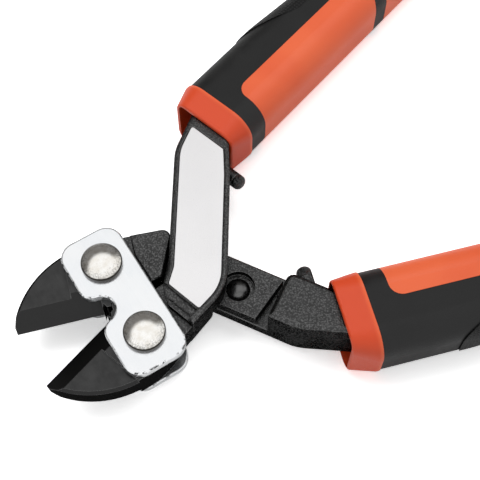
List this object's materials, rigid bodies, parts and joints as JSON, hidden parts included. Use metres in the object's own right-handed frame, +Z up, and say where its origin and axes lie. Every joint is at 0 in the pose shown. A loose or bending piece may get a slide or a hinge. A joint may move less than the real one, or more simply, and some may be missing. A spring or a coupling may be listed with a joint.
{
  "type": "bolt cutters",
  "caption": "Short bolt cutters held open: bright side plates, black jaws, black arms with a bright face panel and orange and black grips.",
  "frame": {"origin": "Middle of the overall box, on the plane that both grips rest on, with the jaws open.", "axes": "X runs along the tool's centre line from the jaws at -X to the handles at +X, Y across the handles, and Z up, square to the side plates."},
  "size_m": [0.3354, 0.271, 0.0276],
  "materials": {
    "plate_steel": "ground bright plate",
    "rivet_nickel": "polished nickel",
    "jaw_steel": "hardened steel, ground and blackened",
    "arm_black": "granular black coating on forged steel",
    "panel_bright": "bright satin",
    "bumper_rubber": "moulded rubber",
    "tube_steel": "drawn tube",
    "core_orange": "hard moulded orange plastic",
    "sleeve_black": "finely textured soft grip"
  },
  "bodies": {
    "head": {"front_plate": "plate_steel", "back_plate": "plate_steel", "upper_jaw_rivet": "rivet_nickel", "lower_jaw_rivet": "rivet_nickel"},
    "upper_lever": {"lower_jaw": "jaw_steel", "upper_arm": "arm_black", "upper_arm_panel": "panel_bright", "upper_blade_rivet": "arm_black", "upper_bumper": "bumper_rubber", "upper_handle_tube": "tube_steel", "upper_tang_pins": "tube_steel", "upper_grip_core": "core_orange", "upper_grip_sleeve": "sleeve_black", "upper_palm_patch": "sleeve_black", "upper_end_cap": "sleeve_black"},
    "lower_lever": {"upper_jaw": "jaw_steel", "lower_arm": "arm_black", "lower_arm_panel": "panel_bright", "lower_blade_rivet": "arm_black", "lower_bumper": "bumper_rubber", "lower_handle_tube": "tube_steel", "lower_tang_pins": "tube_steel", "lower_grip_core": "core_orange", "lower_grip_sleeve": "sleeve_black", "lower_palm_patch": "sleeve_black", "lower_end_cap": "sleeve_black"}
  },
  "joints": [
    {"name": "upper_handle_hinge", "type": "hinge", "parent": "head", "child": "upper_lever", "pos_m": [-0.12976, -0.0156, 0.0138], "axis": [0, 0, -1], "range_deg": [0, 17.4]},
    {"name": "lower_handle_hinge", "type": "hinge", "parent": "head", "child": "lower_lever", "pos_m": [-0.12976, 0.0156, 0.0138], "axis": [0, 0, 1], "range_deg": [0, 17.4]}
  ],
  "couplings": [
    {"joint": "lower_handle_hinge", "follows": "upper_handle_hinge", "ratio": 1}
  ]
}
